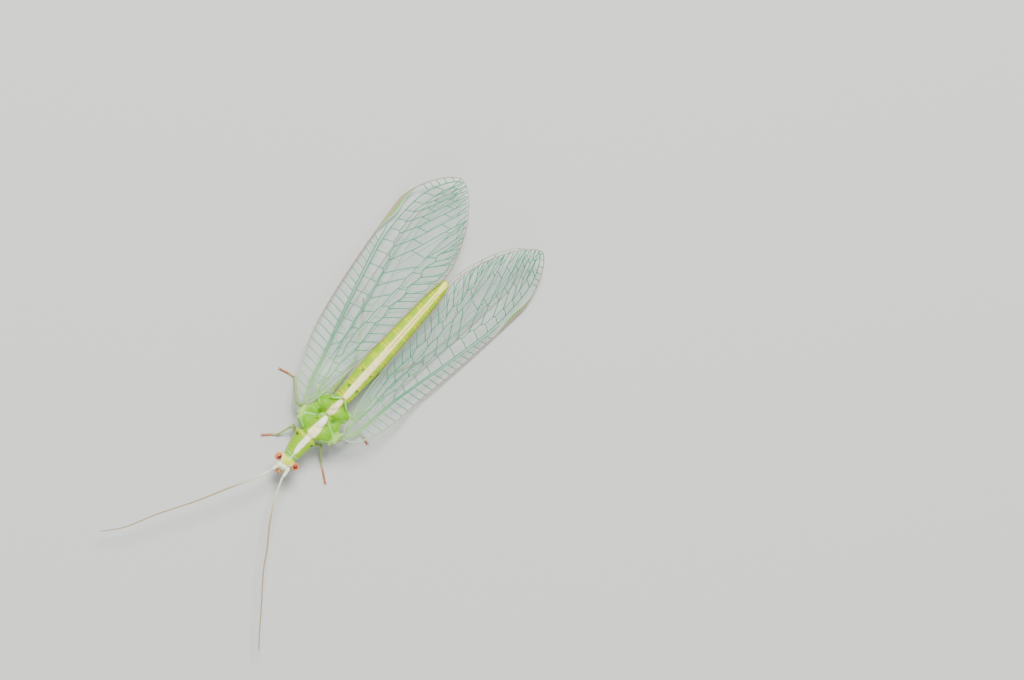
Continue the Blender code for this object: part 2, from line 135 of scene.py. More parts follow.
# Main veins of a forewing as (along, across), across growing towards the hind margin
RADIUS_VEIN = [(-0.2, 0.02), (0.6, -0.20), (1.2, -0.36), (2.0, -0.50), (2.8, -0.68), (4.0, -1.00),
               (5.0, -1.24), (6.0, -1.46), (7.0, -1.68), (8.0, -1.88), (9.0, -1.95), (10.0, -1.88),
               (10.9, -1.70), (11.6, -1.36), (12.2, -0.85), (12.45, -0.5)]
SUBCOSTA = [(0.0, -0.06), (1.0, -0.40), (2.0, -0.59), (3.0, -0.83), (4.0, -1.11), (5.0, -1.36),
            (6.0, -1.60), (7.0, -1.84), (8.0, -2.05), (8.8, -2.17)]
SECTOR = [(2.8, -0.68), (3.02, -0.48), (3.28, -0.36), (4.15, -0.33), (4.4, -0.45), (5.0, -0.43),
          (5.2, -0.50), (5.7, -0.51), (5.9, -0.63), (6.35, -0.66), (6.55, -0.79), (6.95, -0.81),
          (7.15, -0.96), (7.6, -0.98), (7.8, -1.12), (8.15, -1.17), (8.35, -1.34), (8.75, -1.35),
          (8.95, -1.46), (9.3, -1.44), (9.5, -1.52), (9.85, -1.46), (10.1, -1.48), (10.5, -1.34),
          (11.1, -1.16), (11.7, -0.9), (12.3, -0.5)]
MEDIA = [(0.0, 0.06), (1.1, 0.12), (1.6, 0.05), (2.1, -0.04), (2.5, -0.12), (2.9, -0.22),
         (3.3, -0.34)]
FALSE_MEDIA = [(2.5, -0.12), (2.8, 0.08), (3.2, -0.03), (3.7, -0.02), (4.2, -0.02), (4.75, 0.06),
               (5.3, 0.08), (5.75, 0.17), (6.4, 0.20), (6.9, 0.29), (7.45, 0.29), (7.8, 0.36),
               (8.5, 0.42), (9.3, 0.50), (10.2, 0.64), (11.0, 0.84), (11.3, 0.93)]
FALSE_CUBITUS = [(0.2, 0.14), (1.5, 0.20), (2.2, 0.23), (2.8, 0.34), (3.4, 0.46), (4.3, 0.47),
                 (4.9, 0.44), (5.2, 0.56), (5.95, 0.51), (6.4, 0.70), (6.85, 0.70), (7.05, 0.60),
                 (7.5, 0.74), (7.85, 0.80), (8.05, 0.66), (8.4, 0.74), (8.8, 0.90), (9.05, 0.80),
                 (9.5, 0.98), (10.3, 1.20), (10.6, 1.25)]
ANAL_VEINS = [[(0.3, 0.20), (1.0, 0.32), (1.7, 0.48), (2.4, 0.66), (3.0, 0.86), (3.4, 1.1)],
              [(0.4, 0.26), (0.9, 0.46), (1.4, 0.66), (1.9, 0.86), (2.4, 1.08)]]
SECTOR_JOINS = (4.15, 5.0, 5.7, 6.35, 6.95)
JOINS_ON_MEDIA = (4.25, 5.32, 6.42, 7.45, 8.2)
BRANCH_STARTS = (7.6, 8.25, 8.9, 9.5, 10.1, 10.7, 11.25)
BRANCH_ENDS = (11.3, 11.68, 11.98, 12.2, 12.38, 12.51, 12.6)
RADIAL_CROSSINGS = (3.5, 4.22, 4.95, 5.62, 6.32, 6.98, 7.66, 8.25, 8.85, 9.4, 9.95, 10.5, 11.1, 11.6)
# Where cross veins join false media and false cubitus
MEDIA_CROSSINGS = (3.55, 4.72, 5.74, 6.82, 7.82, 8.82)
# Where the two short branches beyond the false media start, and where they end on the hind margin
SHORT_BRANCHES = ((8.7, 10.75), (9.9, 11.05))
# How steeply the hind veins run towards the margin, along the wing
HIND_VEIN_SLOPES = ((3.0, 1.3), (7.0, 1.15), (8.5, 0.85), (10.5, 0.5))
LADDER_START = 0.42
LADDER_STEP = 0.37
STIGMA = (8.3, 11.2)
# Each band of the stigma: how far inside the margin it starts and ends, and its colour
STIGMA_BANDS = ((0.0, 0.08, "AE9A78"), (0.07, 0.15, "93A468"),
                (0.14, 0.24, "7FB468"), (0.23, 0.30, "A6CCA4"))
THICK_VEIN = 0.034
MIDDLE_VEIN = 0.024
FINE_VEIN = 0.020
HIND_VEIN_SHARE = 0.6


# Camera: how far it leans to the insect's right, how far the picture is turned on the floor, the spot
# beside the insect that it looks at and the width it sees there, all in mm
CAMERA_LEAN = math.radians(12.5)
CAMERA_TURN = math.radians(41.9)
CAMERA_TARGET = (4.14, 7.57)
CAMERA_LENS = 100.0
CAMERA_SENSOR = 36.0
VIEW_WIDTH = 47.616


# Small helpers

def smoothstep(x):
    x = min(1.0, max(0.0, x))
    return x * x * (3 - 2 * x)


def blend(a, b, c, d, t):
    """The smooth curve between b and c that also heeds their neighbours a and d."""
    bend = 2 * a - 5 * b + 4 * c - d
    twist = 3 * b - a - 3 * c + d
    return 0.5 * (2 * b + (c - a) * t + bend * t ** 2 + twist * t ** 3)


def along(values, t):
    """Reads a smooth curve through evenly spaced values at t from 0 to 1."""
    x = min(1.0, max(0.0, t)) * (len(values) - 1)
    i = min(int(x), len(values) - 2)
    b, c = values[i], values[i + 1]
    a = values[i - 1] if i else 2 * b - c
    d = values[i + 2] if i + 2 < len(values) else 2 * c - b
    return blend(a, b, c, d, x - i)


def smooth_path(points, step):
    """Points about one step apart on a smooth curve through the given ones."""
    points = [Vector(p) for p in points]
    points = [points[0] * 2 - points[1]] + points + [points[-1] * 2 - points[-2]]
    path = []
    for i in range(1, len(points) - 2):
        a, b, c, d = points[i - 1:i + 3]
        count = max(1, round((c - b).length / step))
        path += [blend(a, b, c, d, k / count) for k in range(count)]
    return path + [points[-2]]


def drawn(path):
    """A vein measured from the line between root and tip, told from the blade's own axis instead."""
    return [(u + 0.08, w + (0.3 * smoothstep(u / 4) + 0.02 * u) * (1 - 0.15 * (w + 0.4)))
            for u, w in path]


def height_at(path, along_place):
    """How far across a vein lies at a place along the wing."""
    for (u0, w0), (u1, w1) in zip(path, path[1:]):
        if along_place <= u1:
            return w0 + (w1 - w0) * max(0.0, (along_place - u0) / (u1 - u0))
    return path[-1][1]


def only(*objects):
    """Selects these objects alone, the first of them active."""
    bpy.ops.object.select_all(action="DESELECT")
    for obj in objects:
        obj.select_set(True)
    bpy.context.view_layer.objects.active = objects[0]


def join(name, objects):
    only(*objects)
    if len(objects) > 1:
        bpy.ops.object.join()
    obj = bpy.context.view_layer.objects.active
    obj.name = name
    return obj


def apply_modifier(obj, kind, **settings):
    only(obj)
    modifier = obj.modifiers.new(kind.lower(), kind)
    for key, value in settings.items():
        setattr(modifier, key, value)
    bpy.ops.object.modifier_apply(modifier=modifier.name)


def ball(place, half, turn=(0, 0, 0), segments=32):
    """An egg of the given half sizes."""
    bpy.ops.mesh.primitive_uv_sphere_add(segments=segments, ring_count=segments // 2, radius=1,
                                         location=place, rotation=turn, scale=half)
    obj = bpy.context.view_layer.objects.active
    bpy.ops.object.transform_apply(location=True, rotation=True, scale=True)
    return obj


def tubes(name, paths, roundness=2):
    """Closed round tubes, one for each path of (place, radius)."""
    curve = bpy.data.curves.new(name, "CURVE")
    curve.dimensions = "3D"
    curve.bevel_depth = 1.0
    curve.bevel_resolution = roundness
    curve.use_fill_caps = True
    for path in paths:
        spline = curve.splines.new("POLY")
        spline.points.add(len(path) - 1)
        for point, (place, radius) in zip(spline.points, path):
            point.co = (*place, 1.0)
            point.radius = radius
    obj = bpy.data.objects.new(name, curve)
    bpy.context.scene.collection.objects.link(obj)
    only(obj)
    bpy.ops.object.convert(target="MESH")
    obj = bpy.context.view_layer.objects.active
    bpy.ops.object.mode_set(mode="EDIT")
    bpy.ops.mesh.select_all(action="SELECT")
    bpy.ops.mesh.remove_doubles(threshold=0.00001)
    bpy.ops.mesh.normals_make_consistent(inside=False)
    bpy.ops.object.mode_set(mode="OBJECT")
    return obj


def settle(obj, material, nodes=()):
    """Sets a finished piece into the frame in metres, with its material, and hides the model's parts
    that it stands for.
    """
    only(obj)
    obj.scale = (MM, MM, MM)
    obj.location = (MIDLINE_X * MM, 0, 0)
    bpy.ops.object.transform_apply(location=True, rotation=True, scale=True)
    bpy.ops.object.shade_smooth()
    if material:
        obj.data.materials.clear()
        obj.data.materials.append(material)
    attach(obj, "root")
    if nodes:
        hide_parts(*nodes)
    return obj


# Materials

def colour(hex_colour):
    """An sRGB hex colour as linear values."""
    parts = [int(hex_colour[i:i + 2], 16) / 255 for i in (0, 2, 4)]
    parts = [p / 12.92 if p <= 0.04045 else ((p + 0.055) / 1.055) ** 2.4 for p in parts]
    return (*parts, 1.0)


def add(tree, kind, settings=(), links=()):
    """Adds a node with its settings, and links others' outputs to its inputs."""
    node = tree.nodes.new(kind)
    for key, value in dict(settings).items():
        if isinstance(key, str) and hasattr(node, key):
            setattr(node, key, value)
        else:
            node.inputs[key].default_value = value
    for key, output in dict(links).items():
        tree.links.new(output, node.inputs[key])
    return node


def new_material(name):
    material = bpy.data.materials.new(name)
    material.use_nodes = True
    return material, material.node_tree, material.node_tree.nodes["Principled BSDF"]


def set_shader(shader, **values):
    for key, value in values.items():
        shader.inputs[key.replace("_", " ")].default_value = value


def bump(tree, shader, height, strength, distance):
    node = add(tree, "ShaderNodeBump", {"Strength": strength, "Distance": distance}, {"Height": height})
    tree.links.new(node.outputs["Normal"], shader.inputs["Normal"])


def cuticle_material():
    """Soft green cuticle: waxy, a little see-through, with fine pores and short creases."""
    material, tree, shader = new_material("green waxy cuticle")
    place = add(tree, "ShaderNodeTexCoord")
    paint = add(tree, "ShaderNodeAttribute", {"attribute_name": "cuticle"})
    mottle = add(tree, "ShaderNodeTexNoise", {"Scale": 5500.0, "Detail": 4.0},
                 {"Vector": place.outputs["Object"]})
    shade = add(tree, "ShaderNodeMapRange",
                {"From Min": 0.3, "From Max": 0.7, "To Min": 0.90, "To Max": 1.08},
                {"Value": mottle.outputs["Fac"]})
    mixed = add(tree, "ShaderNodeVectorMath", {"operation": "SCALE"},
                {"Vector": paint.outputs["Color"], "Scale": shade.outputs["Result"]})
    tree.links.new(mixed.outputs["Vector"], shader.inputs["Base Color"])
    # Wrinkles run across the body, about 0.08 mm apart.
    across = add(tree, "ShaderNodeMapping", {"Scale": (0.25, 1.0, 0.4)},
                 {"Vector": place.outputs["Object"]})
    wrinkles = add(tree, "ShaderNodeTexNoise", {"Scale": 12000.0, "Detail": 4.0, "Roughness": 0.6},
                   {"Vector": across.outputs["Vector"]})
    bump(tree, shader, wrinkles.outputs["Fac"], 0.7, 0.00004)
    set_shader(shader, Roughness=0.42, Subsurface_Weight=0.18, Subsurface_Scale=0.0002,
               Subsurface_Radius=(0.8, 1.0, 0.3), Specular_IOR_Level=0.22)
    return material


def eye_material():
    """Compound eye: copper with a glassy cornea over thousands of facets, and a painted pseudopupil on
    top: the dark spot the facets show where they face the viewer.
    """
    material, tree, shader = new_material("copper compound eye")
    place = add(tree, "ShaderNodeTexCoord")
    paint = add(tree, "ShaderNodeAttribute", {"attribute_name": "cuticle"})
    tree.links.new(paint.outputs["Color"], shader.inputs["Base Color"])
    facets = add(tree, "ShaderNodeTexVoronoi", {"Scale": 38000.0, "Randomness": 0.25},
                 {"Vector": place.outputs["Object"]})
    bump(tree, shader, facets.outputs["Distance"], 0.4, 0.00001)
    set_shader(shader, Roughness=0.30, Metallic=0.15, Coat_Weight=0.35, Coat_Roughness=0.20)
    return material


def painted_material(name, roughness, bump_scale=15000.0):
    """Dry cuticle whose colour is painted along the piece."""
    material, tree, shader = new_material(name)
    place = add(tree, "ShaderNodeTexCoord")
    paint = add(tree, "ShaderNodeAttribute", {"attribute_name": "cuticle"})
    tree.links.new(paint.outputs["Color"], shader.inputs["Base Color"])
    grain = add(tree, "ShaderNodeTexNoise", {"Scale": bump_scale, "Detail": 3.0},
                {"Vector": place.outputs["Object"]})
    bump(tree, shader, grain.outputs["Fac"], 0.3, 0.00001)
    set_shader(shader, Roughness=roughness, Specular_IOR_Level=0.4)
    return material


def membrane_material():
    """Clear wing membrane: nearly invisible, with a faint green tint and a film-like sheen."""
    material, tree, shader = new_material("clear wing membrane")
    place = add(tree, "ShaderNodeTexCoord")
    ripple = add(tree, "ShaderNodeTexNoise", {"Scale": 1600.0, "Detail": 2.0},
                 {"Vector": place.outputs["Object"]})
    bump(tree, shader, ripple.outputs["Fac"], 0.25, 0.00003)
    set_shader(shader, Base_Color=colour("D4ECE2"), Roughness=0.28, Alpha=0.08,
               Thin_Film_Thickness=380.0, Thin_Film_IOR=1.45)
    return material


def stage_material():
    """Plain pale card under the model."""
    material, _, shader = new_material("pale card")
    set_shader(shader, Base_Color=colour("C6C8C2"), Roughness=0.9, Specular_IOR_Level=0.2)
    return material


def paint(obj, rule):
    """Colours each point of a mesh, still in millimetres, by a rule of its place."""
    layer = obj.data.color_attributes.new("cuticle", "FLOAT_COLOR", "POINT")
    for vertex, cell in zip(obj.data.vertices, layer.data):
        cell.color = rule(vertex.co)


def mix(a, b, share):
    share = min(1.0, max(0.0, share))
    return tuple(x + (y - x) * share for x, y in zip(a, b))


def spot(place, centre, radius):
    """How much of a soft round spot covers a place, from 0 to 1."""
    distance = (Vector(place) - Vector(centre)).length
    return 1 - smoothstep((distance / radius - 0.6) / 0.6)


# Body

def turned(x, y):
    """A place beside the head's centre, y growing towards the neck, turned with the head."""
    c, s = math.cos(HEAD_YAW), math.sin(HEAD_YAW)
    return HEAD_X + x * c - y * s, HEAD_Y + x * s + y * c


def head_ball(x, y, z, half):
    return ball((*turned(x, y), BODY_Z + z), half, (0, 0, HEAD_YAW))


def head_lumps():
    lumps = [head_ball(0, 0.03, 0.0, (0.38, 0.29, 0.37)),
             head_ball(0, 0.06, 0.16, (0.27, 0.24, 0.22)),
             head_ball(0, 0.27, -0.02, (0.29, 0.14, 0.27)),
             head_ball(0, -0.24, -0.02, (0.27, 0.20, 0.30)),
             head_ball(0, -0.36, -0.20, (0.20, 0.17, 0.24)),
             head_ball(0, -0.44, -0.36, (0.15, 0.12, 0.16))]
    for sign in SIDES.values():
        lumps.append(head_ball(sign * 0.25, 0.06, -0.14, (0.17, 0.24, 0.24)))
        lumps.append(head_ball(sign * 0.24, -0.30, 0.10, (0.11, 0.12, 0.11)))
    return lumps


def thorax_lean(y):
    """How far the thorax lies aside of the midline at y, growing from the waist forward."""
    return THORAX_X * smoothstep((0.6 - y) / 1.2)


def neck_lean(y):
    """How far the body leans aside at y: the thorax a little one way, the neck after the head."""
    lean = thorax_lean(y)
    return lean + (HEAD_X - lean) * min(1.0, max(0.0, (-2.6 - y) / 0.9))


def thorax_lumps():
    collar = [((neck_lean(y), y, BODY_Z - 0.02), radius) for y, radius in PRONOTUM_RINGS]
    shield = tubes("pronotum", [collar], 8)
    lumps = [shield,
             ball((neck_lean(-3.3), -3.3, BODY_Z - 0.02), (0.24, 0.22, 0.25)),
             ball((neck_lean(-2.5), -2.5, BODY_Z + 0.16), (0.33, 0.46, 0.28)),
             ball((0, -1.76, BODY_Z + 0.16), (0.50, 0.33, 0.48)),
             ball((0, -1.07, BODY_Z + 0.32), (0.27, 0.38, 0.34)),
             ball((0, -1.35, BODY_Z - 0.22), (0.62, 0.76, 0.56)),
             ball((0, -0.02, BODY_Z + 0.24), (0.22, 0.34, 0.28)),
             ball((0, -0.25, BODY_Z - 0.2), (0.54, 0.62, 0.5)),
             ball((0, 0.35, BODY_Z - 0.02), (0.41, 0.38, 0.41))]
    for sign in SIDES.values():
        lumps += [ball((sign * 0.46, -1.46, BODY_Z + 0.16), (0.50, 0.45, 0.46)),
                  ball((sign * 0.80, -1.42, BODY_Z + 0.16), (0.28, 0.36, 0.30)),
                  ball((sign * 1.02, -1.24, 2.12), (0.17, 0.30, 0.16)),
                  ball((sign * 0.62, -0.90, BODY_Z + 0.12), (0.34, 0.30, 0.26)),
                  ball((sign * 0.50, -0.62, BODY_Z + 0.02), (0.34, 0.34, 0.30)),
                  ball((sign * 0.42, -0.30, BODY_Z + 0.10), (0.44, 0.38, 0.40)),
                  ball((sign * 0.70, -0.24, BODY_Z + 0.10), (0.24, 0.32, 0.26)),
                  ball((sign * 0.86, -0.08, 2.0), (0.14, 0.26, 0.13))]
        # Small plates and folds lie round the wing hinges.
        for y, wide, size in HINGE_PLATES:
            height = 2.16 if y < -1 else 2.06
            lumps.append(ball((sign * wide, y, height), (size, size * 1.2, size * 0.8),
                              (0, 0, sign * 0.6), 12))
        # Pale ridges run from the wing roots to the tip of each scutellum.
        for y, wide in ((-1.40, 0.78), (-0.22, 0.80)):
            ridge = [((sign * wide, y, BODY_Z + 0.38), 0.04),
                     ((sign * 0.45, y + 0.28, BODY_Z + 0.47), 0.045),
                     ((sign * 0.10, y + 0.56, BODY_Z + 0.42), 0.045)]
            lumps.append(tubes("ridge", [ridge]))
        root = ROOT_X["left" if sign > 0 else "right"]
        fore_root = [((sign * 0.85, -1.2, 2.06), 0.13), ((sign * 1.08, -1.05, 2.10), 0.11),
                     ((sign * (root - 0.02), -0.85, 2.12), 0.07)]
        hind_root = [((sign * 0.7, -0.3, 1.9), 0.12), ((sign * 0.98, -0.15, 1.80), 0.09),
                     ((sign * (root - 0.04), 0.05, 1.68), 0.06)]
        lumps.append(tubes("wing_root", [fore_root]))
        lumps.append(tubes("hindwing_root", [hind_root]))
        for leg in ("front", "middle", "hind"):
            x, y, z = LEGS[leg + "_left"][0]
            hip = [((sign * 0.24, y - 0.06, 1.62), 0.17), ((sign * 0.28, y - 0.02, 1.2), 0.17),
                   ((sign * x, y, z + 0.12), 0.12), ((sign * x, y, z - 0.02), 0.09)]
            lumps.append(tubes("coxa", [hip], 4))
    return lumps


def abdomen_tube():
    path = []
    start, end = ABDOMEN
    per_segment = 10
    steps = ABDOMEN_SEGMENTS * per_segment
    for i in range(steps + 1):
        t = i / steps
        inside = (i % per_segment) / per_segment
        swell = 0.975 + 0.035 * math.sin(math.pi * min(1.0, inside * 1.08)) ** 0.5
        path.append(((0, start + (end - start) * t, BODY_Z), along(ABDOMEN_WIDTHS, t) * swell))
    body = tubes("abdomen_tube", [[((0, 0.2, BODY_Z), 0.34)] + path], 10)
    tail = ball((0, end - 0.02, BODY_Z + 0.02), (0.22, 0.16, 0.20))
    return [body, tail]


def leg_paths(name):
    """Each leg's thigh and shin as paths of (place, radius)."""
    sign = SIDES[name.split("_")[1]]
    hip, knee, ankle, _ = [Vector((sign * x, y, z)) for x, y, z in LEGS[name]]
    thigh = [(hip.lerp(knee, t), along((0.075, 0.10, 0.105, 0.095, 0.08, 0.085), t)) for t in
             [k / 10 for k in range(11)]]
    shin = [(knee.lerp(ankle, t), along((0.075, 0.065, 0.055, 0.052, 0.052, 0.062), t)) for t in
            [k / 10 for k in range(11)]]
    return [thigh, shin]


def cuticle_rule():
    """Where the body's colours lie: pale stripe, green sides, dark spots and pale legs."""
    green, leaf, moss = colour("8CBC00"), colour("72B000"), colour("447808")
    pale, cream, butter = colour("FFFCE0"), colour("FFF0B4"), colour("FAEC74")
    white_green, legs, dark = colour("BCD870"), colour("A8BE6C"), colour("304A0C")
    brown, orange, yellow = colour("704818"), colour("CE7A18"), colour("C8D400")
    mint = colour("A4E08A")
    ridges = [((sign * x0, y0), (sign * x1, y1)) for sign in SIDES.values()
              for (x0, y0), (x1, y1) in PALE_RIDGES]
    spots = [((0, -0.74), 0.06, brown), ((0, 0.29), 0.08, brown)]
    for sign in SIDES.values():
        spots += [((sign * 0.45 - 0.03, -2.30), 0.085, dark), ((sign * 0.42, -0.80), 0.12, moss),
                  ((sign * 0.43, 0.44), 0.11, orange), ((sign * 0.22, 1.02), 0.09, moss),
                  ((sign * 0.24, 1.95), 0.07, moss)]

    def stripe(x, y):
        waves = 0.006 * math.sin(y * 19) + 0.005 * math.sin(y * 47 + 2)
        half = 0.94 * height_at(STRIPE_WIDTHS, y) + waves
        return 1 - smoothstep((abs(x) - half) / 0.06 + 0.5)

    def on_ridge(x, y):
        near = 9.0
        for (x0, y0), (x1, y1) in ridges:
            t = ((x - x0) * (x1 - x0) + (y - y0) * (y1 - y0)) / ((x1 - x0) ** 2 + (y1 - y0) ** 2)
            t = min(1.0, max(0.0, t))
            near = min(near, math.hypot(x - x0 - (x1 - x0) * t, y - y0 - (y1 - y0) * t))
        return 1 - smoothstep(near / 0.06)

    def rule(place):
        x, y, z = place
        x -= neck_lean(y)
        y -= THORAX_Y * smoothstep((0.9 - y) / 0.6)
        top = smoothstep((z - BODY_Z) / 0.25)
        if y > -3.3 and z < LEG_TOP or abs(x) > LEG_OUT:
            return legs
        if y < -3.40:
            return colour_of_head(place)
        tone = green
        if -2.0 < y < 0.3:
            tone = mix(leaf, green, smoothstep((0.5 - abs(x)) / 0.4))
            tone = mix(tone, white_green, 0.6 * smoothstep((abs(x) - 0.75) / 0.3))
        if y > 0.3:
            share = (y - ABDOMEN[0]) / (ABDOMEN[1] - ABDOMEN[0]) * ABDOMEN_SEGMENTS
            edge = abs(share - round(share))
            tone = mix(yellow, green, smoothstep(edge / 0.3))
            tone = mix(moss, tone, 0.35 + 0.65 * smoothstep(edge / 0.07))
            tone = mix(tone, leaf, 0.5 * smoothstep((abs(x) - 0.33) / 0.15))
        if -2.3 < y < -2.0:
            tone = mix(tone, yellow, 0.7 * (1 - abs(y + 2.1) / 0.2))
        tone = mix(white_green, tone, 0.55 + 0.45 * top)
        fold = 0.5 + 0.5 * math.sin(y * 46 + 6 * x)
        tone = mix(tone, yellow, 0.35 * fold * smoothstep((y - 0.4) / 0.4))
        if y < 0.4:
            tone = mix(tone, mint, 0.8 * on_ridge(x, y) * top)
        for (sx, sy), radius, shade in spots:
            tone = mix(tone, shade, 0.85 * top * spot((x, y), (sx, sy), radius))
        band = mix(pale, cream, smoothstep((y + 2.1) / 0.2) * (1 - smoothstep((y + 1.5) / 0.25)))
        if y > -0.7:
            band = mix(cream, butter, smoothstep((y + 0.7) / 7.5))
        cover = stripe(x, y) * smoothstep((z - BODY_Z - 0.1) / 0.15)
        tone = mix(tone, band, cover)
        if 3.2 < y < 6.9:
            line = (1 - smoothstep(abs(x) / 0.04)) * smoothstep((y - 3.2) / 0.5)
            tone = mix(tone, brown, 0.65 * line * top)
        for (sx, sy), radius, shade in spots[:2]:
            tone = mix(tone, shade, 0.8 * top * spot((x, y), (sx, sy), radius))
        return tone

    return rule


def colour_of_head(place):
    """Whitish face, yellow-green crown and a reddish mark under each eye."""
    x, y, z = place
    c, s = math.cos(HEAD_YAW), math.sin(HEAD_YAW)
    dx, dy = x - HEAD_X, y - HEAD_Y
    side, back = dx * c + dy * s, -dx * s + dy * c
    face, crown, green = colour("F0F2C8"), colour("D6E000"), colour("AACC20")
    tone = mix(face, green, smoothstep((back - 0.05) / 0.3))
    tone = mix(tone, crown, spot((side, back), (0, 0.10), 0.27) * smoothstep((z - BODY_Z - 0.1) / 0.1))
    tone = mix(tone, colour("D8C77A"), 0.6 * spot((side, back), (-0.03, 0.30), 0.10))
    mark = spot((abs(side), back, z), (0.36, -0.16, BODY_Z - 0.22), 0.10)
    return mix(tone, colour("8E3B22"), 0.8 * mark)


def make_skin(material):
    """One surface for head, thorax, abdomen, thighs and shins."""
    trunk = join("trunk", head_lumps() + thorax_lumps() + abdomen_tube())
    for vertex in trunk.data.vertices:
        if vertex.co.z > COXA_TOP and THORAX[0] < vertex.co.y < THORAX[1]:
            vertex.co.x += thorax_lean(vertex.co.y)
    apply_modifier(trunk, "REMESH", mode="VOXEL", voxel_size=SKIN_VOXEL)
    apply_modifier(trunk, "SMOOTH", factor=0.5, iterations=3)
    legs = tubes("leg_tubes", [path for name in LEGS for path in leg_paths(name)], 4)
    skin = join("skin", [trunk, legs])
    paint(skin, cuticle_rule())
    nodes = ["head", "prothorax", "mesothorax", "metathorax", "abdomen"]
    nodes += [f"leg_{name}_{part}" for name in LEGS for part in ("femur", "tibia")]
    return settle(skin, material, nodes)


def make_eyes(material):
    rust, copper, dark = colour("96300E"), colour("E8873F"), colour("300904")
    rim = colour("EBB079")
    for side, sign in SIDES.items():
        x, y = turned(sign * EYE_OUT, 0)
        centre = Vector((x, y, BODY_Z + EYE_UP))
        eye = ball(centre, EYE_HALF, (0, 0, HEAD_YAW), 48)
        # The dark spot round this pole is a painted pseudopupil: the darkness the facets show where they
        # face the viewer, painted fixed on top of the eye.
        pseudopupil_pole = Vector((-sign * 0.12, 0.06, 1)).normalized()

        def rule(place):
            away = (Vector(place) - centre).normalized().angle(pseudopupil_pole)
            tone = mix(rust, copper, smoothstep((away - 0.36) / 0.34))
            tone = mix(dark, tone, smoothstep((away - 0.16) / 0.26))
            return mix(tone, rim, 0.7 * smoothstep((away - 0.95) / 0.4))

        paint(eye, rule)
        eye.name = "eye_surface_" + side
        settle(eye, material, ["eye_" + side])


def make_antennae(material):
    """Stout base joint, short second joint and a thread of many small joints."""
    cream, tan = colour("E2DCC0"), colour("A58D62")
    for side, sign in SIDES.items():
        x, y = turned(sign * 0.25, -0.36)
        socket = Vector((x, y, BODY_Z + 0.13))
        points = [Vector((sign * px, py, pz)) for px, py, pz in FEELERS[side]]
        scape_end = socket.lerp(points[0], 0.82)
        scape = [(socket, 0.07), (socket.lerp(scape_end, 0.25), 0.09),
                 (socket.lerp(scape_end, 0.7), 0.085), (scape_end, 0.06)]
        second = [(scape_end, 0.05), (scape_end.lerp(points[0], 0.6), 0.062), (points[0], 0.05)]
        thread = smooth_path(points, 0.05)
        joints = []
        for i, place in enumerate(thread):
            t = i / (len(thread) - 1)
            notch = 0.90 if i % 3 == 0 else 1.0
            joints.append((place, (0.046 - 0.020 * t) * notch))
        joints.append((thread[-1] + (thread[-1] - thread[-2]) * 0.6, 0.010))
        feeler = tubes("antenna_" + side, [scape, second, joints], 3)
        paint(feeler, lambda place: mix(cream, tan, smoothstep((-4.3 - place.y) / 2.2)))
        nodes = [f"antenna_{side}_{part}" for part in ("scape", "lower", "middle", "tip")]
        settle(feeler, material, nodes)


def make_mouth(material):
    """Upper lip, jaws and two pairs of jointed palps."""
    pieces = [head_ball(0, -0.60, -0.27, (0.14, 0.11, 0.10)),
              head_ball(0.075, -0.60, -0.42, (0.085, 0.12, 0.11)),
              head_ball(-0.075, -0.60, -0.42, (0.085, 0.12, 0.11)),
              head_ball(0, -0.45, -0.52, (0.14, 0.18, 0.12))]
    for sign in SIDES.values():
        for reach, spread, low, radius in ((0.62, 0.10, -0.84, 0.026), (0.46, 0.05, -0.86, 0.022)):
            points = [(sign * 0.10, -0.42, -0.55), (sign * (spread + 0.03), -0.42 - 0.25 * reach, -0.60),
                      (sign * (spread + 0.05), -0.42 - 0.45 * reach, low * 0.5 - 0.32),
                      (sign * spread, -0.42 - 0.62 * reach, low)]
            palp = []
            path = smooth_path(points, 0.03)
            for i, (x, y, z) in enumerate(path):
                notch = 0.72 if i % 6 == 0 else 1.0
                palp.append(((*turned(x, y), BODY_Z + z), radius * notch))
            pieces.append(tubes("palp", [palp], 2))
    mouth = join("mouth_pieces", pieces)
    orange, pale = colour("CB8548"), colour("A08458")
    paint(mouth, lambda place: mix(orange, pale, smoothstep((-4.25 - place.y) / 0.4)))
    settle(mouth, material, ["mouthparts"])


def make_feet(material):
    """Five short joints and two hooked claws on each leg."""
    yellow, red = colour("C2B476"), colour("A9603C")
    shades = {}
    paths = []
    for name, joints in LEGS.items():
        sign = SIDES[name.split("_")[1]]
        ankle, toe = [Vector((sign * x, y, z)) for x, y, z in joints[2:]]
        arch = ankle.lerp(toe, 0.35)
        arch.z = 0.062
        line = smooth_path([ankle, arch, toe], 0.03)
        foot = []
        for i, place in enumerate(line):
            t = i / (len(line) - 1)
            joint = min(abs(t - cut) for cut in (0.0, 0.42, 0.57, 0.71, 0.84))
            radius = 0.050 - 0.012 * (1 - smoothstep(joint / 0.03))
            foot.append((Vector((place.x, place.y, max(place.z, radius + 0.001))), radius))
        paths.append(foot)
        ahead = (toe - ankle)
        ahead.z = 0
        ahead.normalize()
        across = Vector((-ahead.y, ahead.x, 0))
        for turn in (-1, 1):
            claw = [(toe, 0.022),
                    (toe + ahead * 0.06 + across * turn * 0.045 + Vector((0, 0, 0.01)), 0.018),
                    (toe + ahead * 0.10 + across * turn * 0.055 - Vector((0, 0, 0.012)), 0.012),
                    (toe + ahead * 0.115 + across * turn * 0.05 - Vector((0, 0, 0.036)), 0.004)]
            paths.append(claw)
        shades[name] = (ankle, toe)
    feet = tubes("feet", paths, 3)

    def rule(place):
        ankle, toe = min(shades.values(), key=lambda pair: (place - pair[0].lerp(pair[1], 0.5)).length)
        share = (place - ankle).length / (toe - ankle).length
        return mix(yellow, red, smoothstep((share - 0.1) / 0.5))

    paint(feet, rule)
    settle(feet, material, [f"leg_{name}_tarsus" for name in LEGS])


# Wings

def quarter(x, power):
    """The side of a rounded outline: 1 where x is 0 and 0 where x is 1."""
    return max(0.0, 1 - min(1.0, abs(x)) ** power) ** (1 / power)


